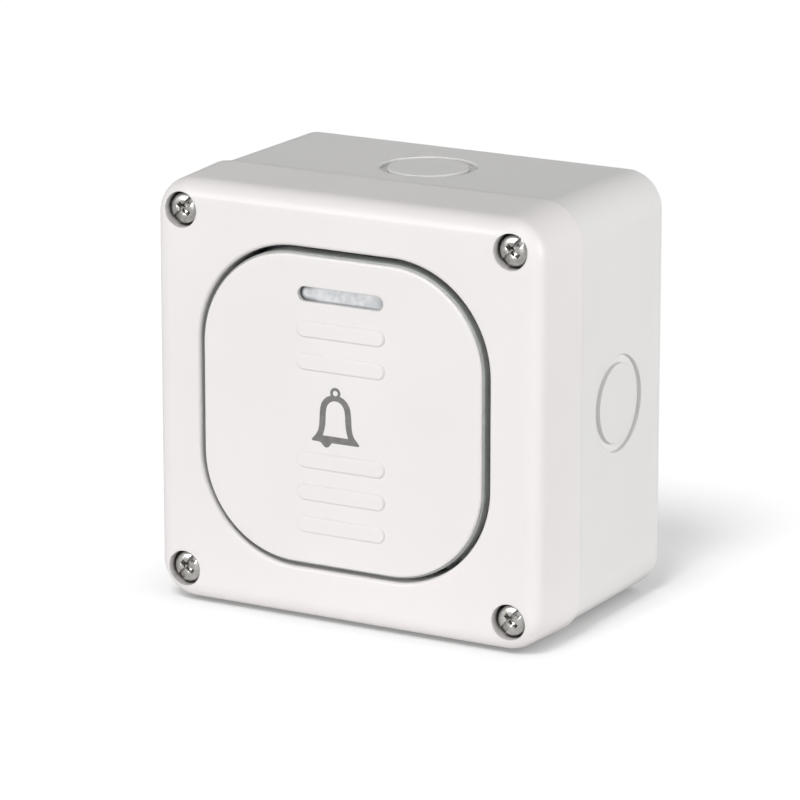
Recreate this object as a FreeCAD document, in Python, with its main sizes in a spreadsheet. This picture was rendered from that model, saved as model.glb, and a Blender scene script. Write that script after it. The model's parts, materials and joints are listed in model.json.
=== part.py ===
import FreeCAD, Part
import math
import os
import Sketcher
from types import SimpleNamespace
from FreeCAD import Placement, Rotation, Vector

# Surface-mounted bell push: a square back box with a screwed cover, and a large
# rounded plate that rocks in the cover, springs back and closes a contact.
# Every piece is drawn as if the wall were the floor: x to the right, y up the
# wall, and heights measured out from the wall towards the finger.

doc = FreeCAD.newDocument("BellPush")
sheet = doc.addObject("Spreadsheet::Sheet", "Sizes")

driving_sizes = {
    # back box
    "box_width": 88.0,
    "box_depth": 36.3,
    "box_wall": 2.6,
    "box_floor": 3.0,
    "corner_round": 7.8,
    "cavity_round": 26.0,
    "box_draft": 0.3,
    "back_edge_bevel": 0.5,
    "knockout_width": 20.0,
    "knockout_disc": 16.6,
    "knockout_depth": 0.9,
    "knockout_level": 19.0,
    "fixing_inset": 14.0,
    "fixing_bore": 4.5,
    "fixing_boss": 9.0,
    "fixing_boss_rise": 1.5,
    "tongue_width": 1.0,
    "tongue_rise": 1.2,
    # cover
    "cover_overhang": 0.6,
    "cover_depth": 17.5,
    "cover_wall": 3.2,
    "cover_face": 2.8,
    "cover_draft": 2.2,
    "cover_edge_round": 3.7,
    "rim_inset": 4.1,
    "rim_band": 4.0,
    "groove_width": 2.0,
    "groove_depth": 2.4,
    "seal_line_inset": 1.6,
    "cover_border": 10.8,
    "opening_round": 22.0,
    "lip_round": 0.8,
    "collar_wall": 1.8,
    "collar_reach": 8.0,
    "post_inset": 3.2,
    "post_width": 6.0,
    "post_reach": 3.7,
    "pilot_depth": 8.0,
    # cover screws
    "screw_inset": 6.35,
    "screw_shank": 3.9,
    "screw_length": 20.0,
    "screw_head": 6.6,
    "screw_head_rise": 2.4,
    "screw_edge_rise": 0.9,
    "screw_sink": 0.8,
    "screw_hole": 4.4,
    "screw_recess": 7.4,
    "drive_slot": 0.9,
    "drive_slot_depth": 0.9,
    "drive_cross": 4.0,
    "drive_cross_bar": 1.1,
    "drive_cross_depth": 1.6,
    "washer_width": 7.0,
    "washer_thick": 0.8,
    "insert_width": 5.6,
    "insert_length": 10.0,
    # push plate, its seal and its window
    "plate_gap": 1.35,
    "plate_proud": 0.9,
    "plate_rim": 0.7,
    "plate_thick": 2.5,
    "plate_rim_round": 0.5,
    "skirt_inset": 1.0,
    "skirt_wall": 1.8,
    "skirt_depth": 7.5,
    "bead_rise": 0.4,
    "bead_reach": 0.35,
    "seal_rise": 3.6,
    "seal_reach": 0.4,
    "seal_round": 0.3,
    "rib_length": 20.3,
    "rib_width": 3.4,
    "rib_rise": 0.4,
    "rib_edge_bevel": 0.3,
    "rib_window_gap": 7.1,
    "rib_inset": 8.2,
    "rib_pitch": 6.75,
    "window_length": 19.6,
    "window_width": 3.1,
    "window_inset": 7.85,
    "lens_sink": 1.0,
    "lens_flange": 1.2,
    "lens_flange_thick": 1.0,
    "hook_wall": 1.2,
    "hook_width": 6.0,
    "hook_inset": 7.0,
    "hook_nib": 0.8,
    "hook_nib_rise": 0.8,
    # rocker and its pin
    "pivot_drop": 3.5,
    "rocker_side_gap": 9.05,
    "rocker_end_gap": 11.05,
    "rocker_thick": 3.7,
    "rocker_web": 1.5,
    "rocker_rib": 1.8,
    "ear_wall": 3.0,
    "ear_step": 0.8,
    "ear_gap": 0.9,
    "ear_round": 2.6,
    "tower_wall": 3.0,
    "tower_width": 7.0,
    "tower_top": 2.3,
    "pin_width": 2.5,
    # contact block
    "frame_side": 11.5,
    "frame_end": 6.5,
    "block_wall": 1.6,
    "block_depth": 17.5,
    "block_corner": 1.5,
    "flange_side": 3.0,
    "flange_end": 5.0,
    "flange_thick": 2.0,
    "frame_margin": 3.5,
    "frame_thick": 2.0,
    "frame_corner": 6.0,
    "frame_slot_length": 22.0,
    "frame_slot_width": 4.0,
    "frame_screw_shank": 2.5,
    "frame_screw_head": 5.0,
    "frame_screw_head_rise": 1.6,
    "frame_screw_grip": 6.0,
    "cover_plate_thick": 2.4,
    "spigot_rise": 1.2,
    # plunger, spring and contacts
    "plunger_inset": 6.0,
    "plunger_width": 6.0,
    "plunger_stem": 3.6,
    "plunger_stem_length": 5.6,
    "plunger_pad_rim": 2.0,
    "plunger_dome": 2.0,
    "guide_width": 9.0,
    "bridge_length": 21.0,
    "bridge_width": 5.0,
    "strip_thick": 0.8,
    "tip_width": 3.0,
    "tip_rise": 0.8,
    "contact_gap": 0.88,
    "contact_place": 8.0,
    "strip_end_gap": 1.5,
    "strip_end_grip": 3.0,
    "spring_width": 5.3,
    "spring_wire": 0.5,
    "spring_turns": 6.0,
    "terminal_width": 6.0,
    "terminal_length": 9.0,
    "terminal_height": 6.5,
    "lead_land": 1.2,
    "wire_bore": 3.0,
    "wire_cover": 0.7,
    "terminal_screw_shank": 2.9,
    "terminal_screw_head": 4.4,
    "terminal_screw_head_rise": 1.8,
    # locator lamp
    "lamp_width": 5.0,
    "lamp_length": 12.0,
    "lamp_rise": 3.7,
    "lamp_tip": 1.6,
    "cradle_wall": 1.6,
    "cradle_width": 5.6,
    "lead_width": 0.6,
    "lead_bend": 1.2,
    "lead_reach": 2.0,
    "resistor_width": 2.2,
    "resistor_length": 6.0,
    "resistor_gap": 1.7,
    # loop terminal on the floor of the box
    "loop_side_gap": 12.0,
    "loop_inset": 13.0,
    "loop_post_length": 9.0,
    "loop_post_height": 8.0,
    "loop_post_rise": 4.0,
    "loop_block_rise": 6.0,
    # running and slip clearances, all round
    "fit_gap": 0.03,
    "pivot_gap": 0.05,
    "slip_gap": 0.1,
    "touch_gap": 0.2,
}

for row, (alias, number) in enumerate(driving_sizes.items(), start=1):
    sheet.set(f"A{row}", alias)
    sheet.set(f"B{row}", str(number))
    sheet.setAlias(f"B{row}", alias)
doc.recompute()


class Size:
    """A length with the sheet expression that gives it."""

    def __init__(self, value, text):
        self.value = value
        self.text = text

    def combine(self, other, sign, result):
        other_text = other.text if isinstance(other, Size) else str(other)
        return Size(result, f"({self.text} {sign} {other_text})")

    def __add__(self, other):
        return self.combine(other, "+", self.value + plain(other))

    def __sub__(self, other):
        return self.combine(other, "-", self.value - plain(other))

    def __mul__(self, other):
        return self.combine(other, "*", self.value * plain(other))

    def __truediv__(self, other):
        return self.combine(other, "/", self.value / plain(other))

    def __neg__(self):
        return Size(-self.value, f"(0 - {self.text})")


def plain(size):
    return size.value if isinstance(size, Size) else float(size)


def bind(item, path, size):
    if isinstance(size, Size):
        item.setExpression(path, size.text)


s = SimpleNamespace(**{alias: Size(float(sheet.get(alias)), f"Sizes.{alias}") for alias in driving_sizes})

# Heights out from the wall, and widths and places that several pieces share
front = s.box_depth + s.cover_depth
cover_inside = front - s.cover_face
screw_spacing = s.box_width - s.screw_inset * 2
fixing_spacing = s.box_width - s.fixing_inset * 2
opening_width = s.box_width - s.cover_border * 2
post_spacing = opening_width - s.post_inset * 2
loop_place_x = fixing_spacing / 2 - s.loop_side_gap
loop_place_y = s.box_width / 2 - s.loop_inset
seal_line = s.box_width - s.seal_line_inset * 2
seal_line_round = s.cavity_round + (s.box_wall - s.seal_line_inset)
cavity_width = s.box_width - s.box_wall * 2
post_level = s.box_depth + s.post_reach
screw_seat = front - s.screw_sink - s.screw_head_rise
recess_floor = screw_seat - s.washer_thick
plate_front = front + s.plate_proud
plate_width = opening_width - s.plate_gap * 2
plate_round = s.opening_round - s.plate_gap
rim_under = plate_front - s.plate_rim
slab_under = plate_front - s.plate_thick
skirt_width = plate_width - s.skirt_inset * 2
skirt_round = plate_round - s.skirt_inset
plate_hollow = skirt_width - s.skirt_wall * 2
window_height = plate_width / 2 - s.window_inset
rocker_length = plate_hollow - s.rocker_side_gap * 2
rocker_height = plate_hollow - s.rocker_end_gap * 2
plunger_place = rocker_height / 2 - s.plunger_inset
hook_place = rocker_height / 2 - s.hook_inset
rocker_under = slab_under - s.rocker_thick
pivot_level = rocker_under - s.pivot_drop
ear_place = rocker_length / 2 - s.ear_step - s.ear_wall / 2
tower_place = ear_place - s.ear_wall / 2 - s.touch_gap - s.tower_wall / 2
block_front = pivot_level - s.ear_round - s.ear_gap
block_inside_front = block_front - s.block_wall
block_back = block_front - s.block_depth
cover_plate_back = block_back - s.cover_plate_thick
frame_back = post_level - s.frame_thick
frame_width = post_spacing + s.frame_margin * 2
block_length = frame_width - s.frame_side * 2
block_height = frame_width - s.frame_end * 2
block_screw_place = (block_height + s.flange_end) / 2
flange_back = frame_back - s.flange_thick
strip_under = block_back + s.terminal_height
strip_top = strip_under + s.strip_thick
bridge_under = strip_top + s.tip_rise * 2 + s.contact_gap
plunger_shoulder = bridge_under + s.strip_thick
strip_end = plunger_place + s.bridge_width / 2 + s.strip_end_gap + s.strip_end_grip
terminal_place = block_height / 2 - s.block_wall * 2 - s.slip_gap - s.touch_gap - s.terminal_length / 2
wire_level = strip_under - s.wire_cover - s.wire_bore / 2
lamp_level = block_front + s.lamp_rise
cradle_place = s.lamp_length * 0.3
lead_place = s.lamp_length / 2 + s.lead_reach

pieces = []


def stand(item, x=0, y=0, height=0):
    """Turn a piece drawn on the wall upright, so that heights run along -Y."""
    upright = Rotation(Vector(1, 0, 0), 90)
    item.Placement = Placement(Vector(plain(x), -plain(height), plain(y)), upright)
    bind(item, "Placement.Base.x", x)
    bind(item, "Placement.Base.z", y)
    if isinstance(height, Size):
        bind(item, "Placement.Base.y", -height)


def new_body(label, x=0, y=0, height=0):
    body = doc.addObject("PartDesign::Body", label)
    body.Label = label
    stand(body, x, y, height)
    pieces.append(body)
    return body


def origin_item(body, role):
    return [item for item in body.Origin.OriginFeatures if item.Role == role][0]


def new_sketch(body, name, level=0, plane="XY_Plane", x=0, y=0):
    sketch = body.newObject("Sketcher::SketchObject", name)
    sketch.AttachmentSupport = (origin_item(body, plane), [""])
    sketch.MapMode = "FlatFace"
    sketch.AttachmentOffset = Placement(Vector(plain(x), plain(y), plain(level)), Rotation())
    bind(sketch, "AttachmentOffset.Base.x", x)
    bind(sketch, "AttachmentOffset.Base.y", y)
    bind(sketch, "AttachmentOffset.Base.z", level)
    return sketch


def name_size(sketch, constraint, name, size):
    index = sketch.addConstraint(constraint)
    sketch.renameConstraint(index, name)
    bind(sketch, f"Constraints.{name}", size)


def draw_circle(sketch, width, x=0, y=0, tag=""):
    ring = Part.Circle(Vector(plain(x), plain(y), 0), Vector(0, 0, 1), plain(width) / 2)
    index = sketch.addGeometry(ring, False)
    name_size(sketch, Sketcher.Constraint("Diameter", index, plain(width)), f"width{tag}", width)
    place_point(sketch, index, 3, x, y, tag)


def place_point(sketch, index, vertex, x, y, tag):
    """Tie a point to its distances from the sketch's own origin."""
    if abs(plain(x)) < 1e-9:
        sketch.addConstraint(Sketcher.Constraint("PointOnObject", index, vertex, -2))
    else:
        rule = Sketcher.Constraint("DistanceX", -1, 1, index, vertex, plain(x))
        name_size(sketch, rule, f"x{tag}", x)
    if abs(plain(y)) < 1e-9:
        sketch.addConstraint(Sketcher.Constraint("PointOnObject", index, vertex, -1))
    else:
        rule = Sketcher.Constraint("DistanceY", -1, 1, index, vertex, plain(y))
        name_size(sketch, rule, f"y{tag}", y)


def draw_outline(sketch, corners, tag="p"):
    """A closed outline of straight edges through the given corners."""
    points = [Vector(plain(x), plain(y), 0) for x, y in corners]
    first = sketch.GeometryCount
    count = len(points)
    for step in range(count):
        edge = Part.LineSegment(points[step], points[(step + 1) % count])
        sketch.addGeometry(edge, False)
    for step in range(count):
        following = first + (step + 1) % count
        sketch.addConstraint(Sketcher.Constraint("Coincident", first + step, 2, following, 1))
    for step, (x, y) in enumerate(corners):
        place_point(sketch, first + step, 1, x, y, f"{tag}{step}")


def draw_block(sketch, length, height, x=0, y=0, tag="b"):
    """A rectangle about a centre."""
    left = (x if isinstance(x, Size) else Size(x, str(x))) - length / 2
    right = left + length
    low = (y if isinstance(y, Size) else Size(y, str(y))) - height / 2
    high = low + height
    draw_outline(sketch, [(left, low), (right, low), (right, high), (left, high)], tag)


def draw_rounded(sketch, width, height, corner, tag=""):
    """A rectangle about the sketch's origin with equal round corners."""
    half_x = plain(width) / 2
    half_y = plain(height) / 2
    r = plain(corner)
    in_x = half_x - r
    in_y = half_y - r
    centres = [(in_x, in_y), (-in_x, in_y), (-in_x, -in_y), (in_x, -in_y)]
    first = sketch.GeometryCount
    for turn, (cx, cy) in enumerate(centres):
        circle = Part.Circle(Vector(cx, cy, 0), Vector(0, 0, 1), r)
        start = turn * math.pi / 2
        sketch.addGeometry(Part.ArcOfCircle(circle, start, start + math.pi / 2), False)
    for turn in range(4):
        arc_end = sketch.getPoint(first + turn, 2)
        arc_start = sketch.getPoint(first + (turn + 1) % 4, 1)
        sketch.addGeometry(Part.LineSegment(arc_end, arc_start), False)
    for turn in range(4):
        line = first + 4 + turn
        sketch.addConstraint(Sketcher.Constraint("Tangent", first + turn, 2, line, 1))
        sketch.addConstraint(Sketcher.Constraint("Tangent", line, 2, first + (turn + 1) % 4, 1))
    for turn in range(3):
        sketch.addConstraint(Sketcher.Constraint("Equal", first + turn, first + turn + 1))
    sketch.addConstraint(Sketcher.Constraint("Horizontal", first + 4))
    sketch.addConstraint(Sketcher.Constraint("Vertical", first + 5))
    sketch.addConstraint(Sketcher.Constraint("Symmetric", first, 3, first + 2, 3, -1, 1))
    across = Sketcher.Constraint("DistanceX", first + 1, 2, first, 1, plain(width))
    upright = Sketcher.Constraint("DistanceY", first + 2, 2, first, 2, plain(height))
    name_size(sketch, across, f"across{tag}", width)
    name_size(sketch, upright, f"upright{tag}", height)
    name_size(sketch, Sketcher.Constraint("Radius", first, r), f"corner{tag}", corner)


def draw_slot(sketch, length, width, tag=""):
    """A round-ended slot along x about the sketch's origin."""
    r = plain(width) / 2
    reach = plain(length) / 2 - r
    first = sketch.GeometryCount
    right = Part.Circle(Vector(reach, 0, 0), Vector(0, 0, 1), r)
    left = Part.Circle(Vector(-reach, 0, 0), Vector(0, 0, 1), r)
    sketch.addGeometry(Part.ArcOfCircle(right, -math.pi / 2, math.pi / 2), False)
    sketch.addGeometry(Part.ArcOfCircle(left, math.pi / 2, 3 * math.pi / 2), False)
    sketch.addGeometry(Part.LineSegment(Vector(reach, r, 0), Vector(-reach, r, 0)), False)
    sketch.addGeometry(Part.LineSegment(Vector(-reach, -r, 0), Vector(reach, -r, 0)), False)
    sketch.addConstraint(Sketcher.Constraint("Tangent", first, 2, first + 2, 1))
    sketch.addConstraint(Sketcher.Constraint("Tangent", first + 2, 2, first + 1, 1))
    sketch.addConstraint(Sketcher.Constraint("Tangent", first + 1, 2, first + 3, 1))
    sketch.addConstraint(Sketcher.Constraint("Tangent", first + 3, 2, first, 1))
    sketch.addConstraint(Sketcher.Constraint("Equal", first, first + 1))
    sketch.addConstraint(Sketcher.Constraint("Symmetric", first, 3, first + 1, 3, -1, 1))
    sketch.addConstraint(Sketcher.Constraint("Horizontal", first + 2))
    span = Sketcher.Constraint("DistanceX", first + 1, 3, first, 3, 2 * reach)
    name_size(sketch, span, f"span{tag}", length - width)
    name_size(sketch, Sketcher.Constraint("Radius", first, r), f"end{tag}", width / 2)


def pad(body, sketch, length, name, inward=False, taper=None):
    feature = body.newObject("PartDesign::Pad", name)
    feature.Profile = sketch
    feature.Length = plain(length)
    feature.Reversed = inward
    bind(feature, "Length", length)
    if taper is not None:
        feature.TaperAngle = plain(taper)
        bind(feature, "TaperAngle", taper)
    return feature


def pocket(body, sketch, name, length=None, outward=False, both_ways=False):
    """Cut from the sketch towards the wall, or away from it when outward."""
    feature = body.newObject("PartDesign::Pocket", name)
    feature.Profile = sketch
    feature.Reversed = outward
    if length is None:
        feature.Type = "ThroughAll"
        feature.Midplane = both_ways
    else:
        feature.Length = plain(length)
        bind(feature, "Length", length)
        feature.Midplane = both_ways
    return feature


def ring_of_four(body, feature, name):
    """Repeat a feature at every quarter turn about the middle of the front."""
    pattern = body.newObject("PartDesign::PolarPattern", name)
    pattern.Originals = [feature]
    pattern.Axis = (origin_item(body, "Z_Axis"), [""])
    pattern.Angle = 360
    pattern.Occurrences = 4
    body.Tip = pattern
    return pattern


def revolve(body, sketch, name, axis="V_Axis"):
    feature = body.newObject("PartDesign::Revolution", name)
    feature.Profile = sketch
    feature.ReferenceAxis = (sketch, [axis])
    feature.Angle = 360
    return feature


def mirror(body, feature, name, plane="YZ_Plane"):
    copy = body.newObject("PartDesign::Mirrored", name)
    copy.Originals = [feature]
    copy.MirrorPlane = (origin_item(body, plane), [""])
    body.Tip = copy
    return copy


def edges_at(feature, level, inside=None):
    """Names of the edges that lie at one height, kept to a square about the middle."""
    names = []
    for number, edge in enumerate(feature.Shape.Edges, start=1):
        box = edge.BoundBox
        flat = abs(box.ZMin - plain(level)) < 1e-4 and abs(box.ZMax - plain(level)) < 1e-4
        reach = max(abs(box.XMin), abs(box.XMax), abs(box.YMin), abs(box.YMax))
        if flat and (inside is None or reach < plain(inside)):
            names.append(f"Edge{number}")
    return names


def soften(body, feature, edges, radius, name):
    fillet = body.newObject("PartDesign::Fillet", name)
    fillet.Base = (feature, edges)
    fillet.Radius = plain(radius)
    bind(fillet, "Radius", radius)
    doc.recompute()
    return fillet


def bevel(body, feature, edges, size, name):
    chamfer = body.newObject("PartDesign::Chamfer", name)
    chamfer.Base = (feature, edges)
    chamfer.Size = plain(size)
    bind(chamfer, "Size", size)
    doc.recompute()
    return chamfer


def make_back_box():
    """Open box: drafted sides, solid screw corners, ringed knockouts, fixing bosses."""
    body = new_body("back_box")
    outline = new_sketch(body, "BoxOutline", s.box_depth)
    draw_rounded(outline, s.box_width, s.box_width, s.corner_round)
    shell = pad(body, outline, s.box_depth, "BoxBlock", inward=True, taper=-s.box_draft)
    doc.recompute()
    bevel(body, shell, edges_at(shell, 0), s.back_edge_bevel, "BoxBackEdge")

    cavity = new_sketch(body, "BoxCavity", s.box_depth)
    draw_rounded(cavity, cavity_width, cavity_width, s.cavity_round)
    pocket(body, cavity, "BoxHollow", s.box_depth - s.box_floor)

    tongue = new_sketch(body, "TongueOutline", s.box_depth)
    outer = seal_line + s.tongue_width
    inner = seal_line - s.tongue_width
    draw_rounded(tongue, outer, outer, seal_line_round + s.tongue_width / 2, "outer")
    draw_rounded(tongue, inner, inner, seal_line_round - s.tongue_width / 2, "inner")
    pad(body, tongue, s.tongue_rise, "Tongue")

    seat = new_sketch(body, "InsertSeatCircle", s.box_depth)
    draw_circle(seat, s.insert_width + s.fit_gap * 2, screw_spacing / 2, screw_spacing / 2)
    bore = pocket(body, seat, "InsertSeat", s.insert_length)
    ring_of_four(body, bore, "InsertSeats")

    boss = new_sketch(body, "FixingBossCircle", s.box_floor)
    draw_circle(boss, s.fixing_boss, fixing_spacing / 2, fixing_spacing / 2)
    rise = pad(body, boss, s.fixing_boss_rise, "FixingBoss")
    ring_of_four(body, rise, "FixingBosses")

    hole = new_sketch(body, "FixingHoleCircle", s.box_floor + s.fixing_boss_rise)
    draw_circle(hole, s.fixing_bore, fixing_spacing / 2, fixing_spacing / 2)
    bore = pocket(body, hole, "FixingHole")
    ring_of_four(body, bore, "FixingHoles")

    post = new_sketch(body, "LoopPostOutline", s.box_floor)
    draw_block(post, s.loop_post_length, s.loop_post_height, -loop_place_x, -loop_place_y)
    pad(body, post, s.loop_post_rise, "LoopPost")

    disc = new_sketch(body, "KnockoutRing", s.box_width / 2, "YZ_Plane")
    draw_circle(disc, s.knockout_width, 0, s.knockout_level, "outer")
    draw_circle(disc, s.knockout_disc, 0, s.knockout_level, "inner")
    groove = pocket(body, disc, "Knockout", s.knockout_depth)
    ring_of_four(body, groove, "Knockouts")
    doc.recompute()
    return body


def make_cover():
    """Front cover: a deep lid with a rounded opening, its collar and four posts."""
    body = new_body("cover")
    width = s.box_width + s.cover_overhang * 2
    outline = new_sketch(body, "CoverOutline", s.box_depth)
    draw_rounded(outline, width, width, s.corner_round + s.cover_overhang)
    block = pad(body, outline, s.cover_depth, "CoverBlock", taper=-s.cover_draft)
    doc.recompute()
    soften(body, block, edges_at(block, front), s.cover_edge_round, "CoverEdge")

    rim = new_sketch(body, "RimHollowOutline", s.box_depth)
    rim_width = width - (s.rim_inset + s.cover_overhang) * 2
    draw_rounded(rim, rim_width, rim_width, s.cavity_round - (s.rim_inset - s.box_wall))
    pocket(body, rim, "RimHollow", s.cover_depth - s.cover_face, outward=True)

    hollow = new_sketch(body, "CoverHollowOutline", cover_inside)
    hollow_width = width - s.cover_wall * 2
    draw_rounded(hollow, hollow_width, hollow_width, s.cavity_round + (s.box_wall - s.cover_wall + s.cover_overhang))
    pocket(body, hollow, "CoverHollow", s.cover_depth - s.cover_face - s.rim_band)

    groove = new_sketch(body, "GasketGrooveOutline", s.box_depth)
    outer = seal_line + s.groove_width
    inner = seal_line - s.groove_width
    draw_rounded(groove, outer, outer, seal_line_round + s.groove_width / 2, "outer")
    draw_rounded(groove, inner, inner, seal_line_round - s.groove_width / 2, "inner")
    pocket(body, groove, "GasketGroove", s.groove_depth, outward=True)

    collar = new_sketch(body, "CollarOutline", cover_inside)
    collar_width = opening_width + s.collar_wall * 2
    draw_rounded(collar, collar_width, collar_width, s.opening_round + s.collar_wall)
    pad(body, collar, s.collar_reach - s.cover_face, "Collar", inward=True)

    opening = new_sketch(body, "OpeningOutline", front)
    draw_rounded(opening, opening_width, opening_width, s.opening_round)
    pocket(body, opening, "Opening")

    post = new_sketch(body, "PostCircle", cover_inside)
    draw_circle(post, s.post_width, post_spacing / 2, post_spacing / 2)
    stem = pad(body, post, cover_inside - post_level, "Post", inward=True)
    ring_of_four(body, stem, "Posts")

    pilot = new_sketch(body, "PilotCircle", post_level)
    pilot_width = s.frame_screw_shank + s.fit_gap * 2
    draw_circle(pilot, pilot_width, post_spacing / 2, post_spacing / 2)
    bore = pocket(body, pilot, "PilotHole", s.pilot_depth, outward=True)
    ring_of_four(body, bore, "PilotHoles")

    hole = new_sketch(body, "ScrewHoleCircle", front)
    draw_circle(hole, s.screw_hole, screw_spacing / 2, screw_spacing / 2)
    bore = pocket(body, hole, "ScrewHole")
    ring_of_four(body, bore, "ScrewHoles")

    recess = new_sketch(body, "ScrewRecessCircle", front)
    draw_circle(recess, s.screw_recess, screw_spacing / 2, screw_spacing / 2)
    bore = pocket(body, recess, "ScrewRecess", front - recess_floor)
    cut = ring_of_four(body, bore, "ScrewRecesses")
    doc.recompute()

    lip = edges_at(cut, front, opening_width / 2 + 1)
    soften(body, cut, lip, s.lip_round, "OpeningLip")
    return body


def make_gasket():
    """Rubber cord that the tongue of the box presses into the groove of the cover."""
    body = new_body("cover_gasket")
    level = s.box_depth + s.tongue_rise
    cord = new_sketch(body, "GasketOutline", level)
    outer = seal_line + s.groove_width - s.slip_gap * 2
    inner = seal_line - s.groove_width + s.slip_gap * 2
    draw_rounded(cord, outer, outer, seal_line_round + s.groove_width / 2 - s.slip_gap, "outer")
    draw_rounded(cord, inner, inner, seal_line_round - s.groove_width / 2 + s.slip_gap, "inner")
    pad(body, cord, s.groove_depth - s.tongue_rise, "Gasket")
    return body


def corner_signs():
    return [("top_left", -1, 1), ("top_right", 1, 1), ("bottom_left", -1, -1), ("bottom_right", 1, -1)]


def make_screw(label, x, y, level, shank, length, head, head_rise, edge_rise, drive_turn=None):
    """Pan-headed screw pointing at the wall, drawn with its head seat at height 0."""
    body = new_body(label, x, y, level)
    profile = new_sketch(body, f"{label}_profile", 0, "XZ_Plane")
    corners = [
        (0, -length),
        (shank / 2, -length),
        (shank / 2, 0),
        (head / 2, 0),
        (head / 2, edge_rise),
        (head * 0.3, head_rise),
        (0, head_rise),
    ]
    draw_outline(profile, corners)
    revolve(body, profile, f"{label}_turned")
    if drive_turn is not None:
        cut_drive(body, label, head, head_rise, drive_turn)
    return body


def cut_drive(body, label, head, head_rise, turn):
    """A straight slot right across the head, with a cross recess in its middle."""
    slot = new_sketch(body, f"{label}_slot", head_rise)
    draw_block(slot, head + s.drive_slot, s.drive_slot)
    turn_sketch(slot, turn)
    pocket(body, slot, f"{label}_slot_cut", s.drive_slot_depth)
    for bar, lean in (("long", turn), ("cross", turn + 90)):
        outline = new_sketch(body, f"{label}_{bar}", head_rise)
        draw_block(outline, s.drive_cross, s.drive_cross_bar)
        turn_sketch(outline, lean)
        pocket(body, outline, f"{label}_{bar}_cut", s.drive_cross_depth)


def turn_sketch(sketch, degrees):
    base = sketch.AttachmentOffset.Base
    sketch.AttachmentOffset = Placement(base, Rotation(Vector(0, 0, 1), degrees))


def make_cover_screws():
    """Four long screws, each with its washer and the brass insert it bites in."""
    turns = {"top_left": 52, "top_right": 40, "bottom_left": 47, "bottom_right": 58}
    reach = screw_spacing / 2
    for name, side_x, side_y in corner_signs():
        x = reach * side_x
        y = reach * side_y
        make_screw(f"cover_screw_{name}", x, y, screw_seat, s.screw_shank, s.screw_length,
                   s.screw_head, s.screw_head_rise, s.screw_edge_rise, turns[name])
        washer = new_body(f"screw_washer_{name}", x, y, recess_floor)
        ring = new_sketch(washer, f"washer_{name}_rings")
        draw_circle(ring, s.washer_width, tag="outer")
        draw_circle(ring, s.screw_shank + s.slip_gap * 2, tag="inner")
        pad(washer, ring, s.washer_thick, f"washer_{name}_disc")
        insert = new_body(f"screw_insert_{name}", x, y, s.box_depth)
        ring = new_sketch(insert, f"insert_{name}_rings")
        draw_circle(ring, s.insert_width, tag="outer")
        draw_circle(ring, s.screw_shank + s.fit_gap * 2, tag="inner")
        pad(insert, ring, s.insert_length, f"insert_{name}_sleeve", inward=True)


def make_push_plate():
    """The plate that the finger presses: thin rim, hollow skirt, ribs and window slot."""
    body = new_body("push_plate")
    rim = new_sketch(body, "PlateOutline", rim_under)
    draw_rounded(rim, plate_width, plate_width, plate_round)
    slab = pad(body, rim, s.plate_rim, "PlateRim")
    doc.recompute()
    soften(body, slab, edges_at(slab, plate_front), s.plate_rim_round, "PlateRimEdge")

    skirt = new_sketch(body, "SkirtOutline", rim_under)
    draw_rounded(skirt, skirt_width, skirt_width, skirt_round)
    pad(body, skirt, s.skirt_depth, "Skirt", inward=True)

    bead = new_sketch(body, "BeadOutline", rim_under - s.seal_rise)
    bead_width = skirt_width + s.bead_reach * 2
    draw_rounded(bead, bead_width, bead_width, skirt_round + s.bead_reach)
    pad(body, bead, s.bead_rise, "SealBead", inward=True)

    hollow = new_sketch(body, "PlateHollowOutline", slab_under)
    hollow_width = skirt_width - s.skirt_wall * 2
    draw_rounded(hollow, hollow_width, hollow_width, skirt_round - s.skirt_wall)
    pocket(body, hollow, "PlateHollow")

    slot = new_sketch(body, "WindowOutline", plate_front, y=window_height)
    draw_slot(slot, s.window_length, s.window_width)
    pocket(body, slot, "WindowSlot")

    hook_x = rocker_length / 2 + s.slip_gap
    for side, name in ((1, "right"), (-1, "left")):
        for place, where in ((hook_place, "upper"), (-hook_place, "lower")):
            tag = f"{name}_{where}"
            leg = new_sketch(body, f"Hook_{tag}", slab_under)
            draw_block(leg, s.hook_wall, s.hook_width, (hook_x + s.hook_wall / 2) * side, place)
            reach = s.rocker_thick + s.hook_nib_rise
            pad(body, leg, reach, f"HookLeg_{tag}", inward=True)
            nib = new_sketch(body, f"HookNib_{tag}_outline", rocker_under)
            nib_length = s.hook_nib + s.hook_wall
            draw_block(nib, nib_length, s.hook_width, (hook_x + s.hook_wall - nib_length / 2) * side, place)
            pad(body, nib, s.hook_nib_rise, f"HookNib_{tag}", inward=True)

    upper = window_height - s.rib_window_gap
    lower = s.rib_inset - plate_width / 2
    places = [upper, upper - s.rib_pitch]
    places += [lower + s.rib_pitch * step for step in range(3)]
    for number, place in enumerate(places):
        rib = new_sketch(body, f"RibOutline{number}", plate_front, y=place)
        draw_slot(rib, s.rib_length, s.rib_width)
        raised = pad(body, rib, s.rib_rise, f"Rib{number}")
    doc.recompute()
    top = plate_front + s.rib_rise
    bevel(body, raised, edges_at(raised, top), s.rib_edge_bevel, "RibEdges")
    return body


def make_plate_seal():
    """Rubber ring stretched round the skirt, which closes the gap round the plate."""
    body = new_body("plate_seal")
    ring = new_sketch(body, "SealOutline", rim_under)
    outer = plate_width + s.seal_reach * 2
    draw_rounded(ring, outer, outer, plate_round + s.seal_reach, "outer")
    draw_rounded(ring, skirt_width, skirt_width, skirt_round, "inner")
    lip = pad(body, ring, s.seal_rise, "Seal", inward=True)
    doc.recompute()
    inner_edges = edges_at(lip, rim_under, skirt_width / 2 + 0.01)
    outer_edges = [name for name in edges_at(lip, rim_under) if name not in inner_edges]
    soften(body, lip, outer_edges, s.seal_round, "SealEdge")
    return body


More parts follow.
